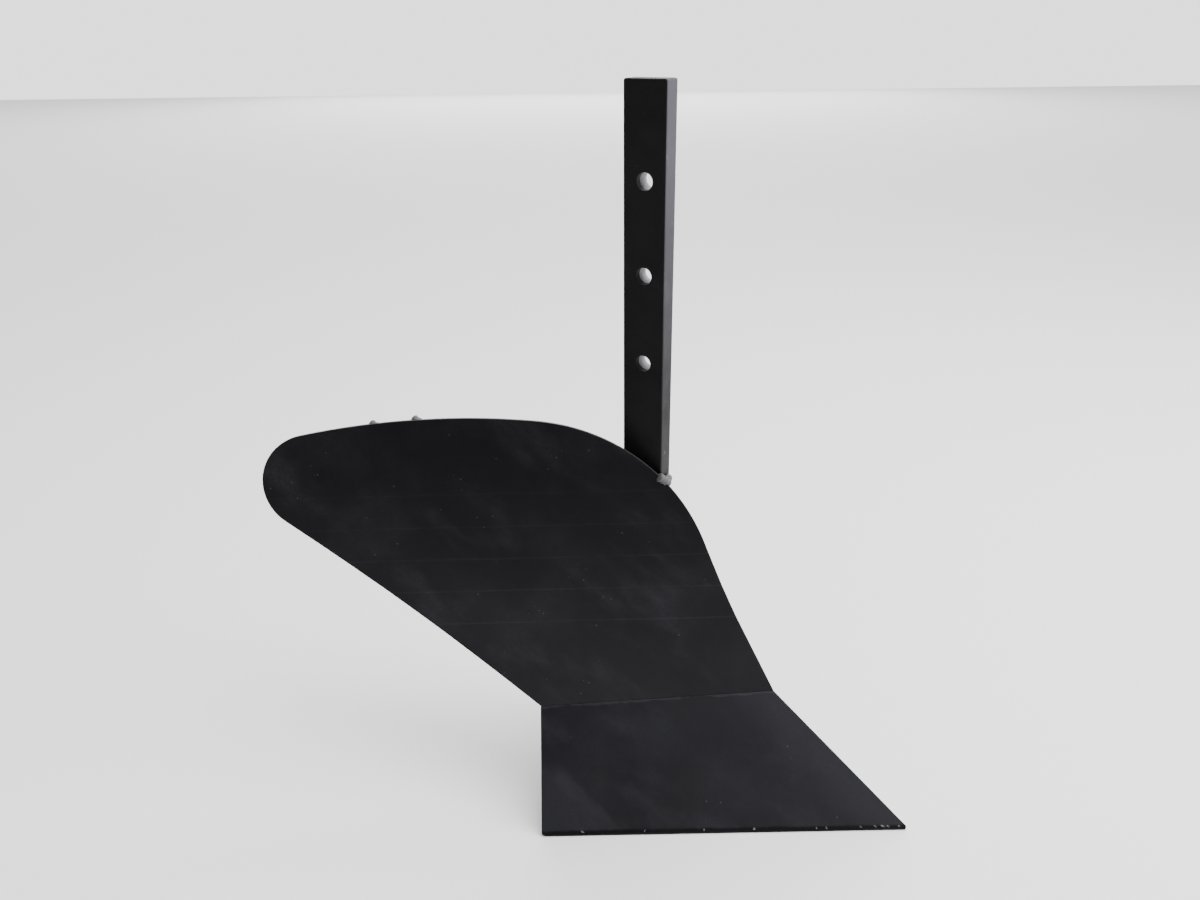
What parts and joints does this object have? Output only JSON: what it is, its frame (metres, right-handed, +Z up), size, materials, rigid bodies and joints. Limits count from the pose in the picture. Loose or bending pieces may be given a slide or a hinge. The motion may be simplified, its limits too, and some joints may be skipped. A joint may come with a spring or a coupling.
{
  "type": "wheel hoe plough attachment",
  "caption": "Right-hand moldboard plough attachment for a wheel hoe: flat shank with a row of bolt holes, bump-bent moldboard, share, landside, braces and weld runs.",
  "frame": {"origin": "centre of the middle bolt hole, in the middle of the shank's thickness", "axes": "+X the direction of travel, +Y left towards the unploughed land, +Z up along the shank"},
  "size_m": [0.3719, 0.1366, 0.4255],
  "materials": {
    "plate_coating": "satin black powder coat on steel plate, faint bend lines, dust and chipped edges",
    "frame_coating": "satin black powder coat on flat bar and plate, worn along the edges",
    "weld_coating": "black powder coat over rippled weld metal"
  },
  "bodies": {
    "root": {"shank": "frame_coating", "moldboard": "plate_coating", "share": "plate_coating", "landside": "frame_coating", "web": "frame_coating", "share_gusset": "frame_coating", "moldboard_gusset": "frame_coating", "wing_brace": "frame_coating", "weld_crease": "weld_coating", "weld_share_landside": "weld_coating", "weld_moldboard_web": "weld_coating", "weld_shank_front": "weld_coating", "weld_shank_side": "weld_coating", "weld_shank_foot": "weld_coating", "weld_web_shank": "weld_coating", "weld_web_landside": "weld_coating", "weld_share_gusset": "weld_coating", "weld_moldboard_gusset": "weld_coating", "weld_wing_brace": "weld_coating", "weld_brace_foot": "weld_coating"}
  },
  "joints": []
}
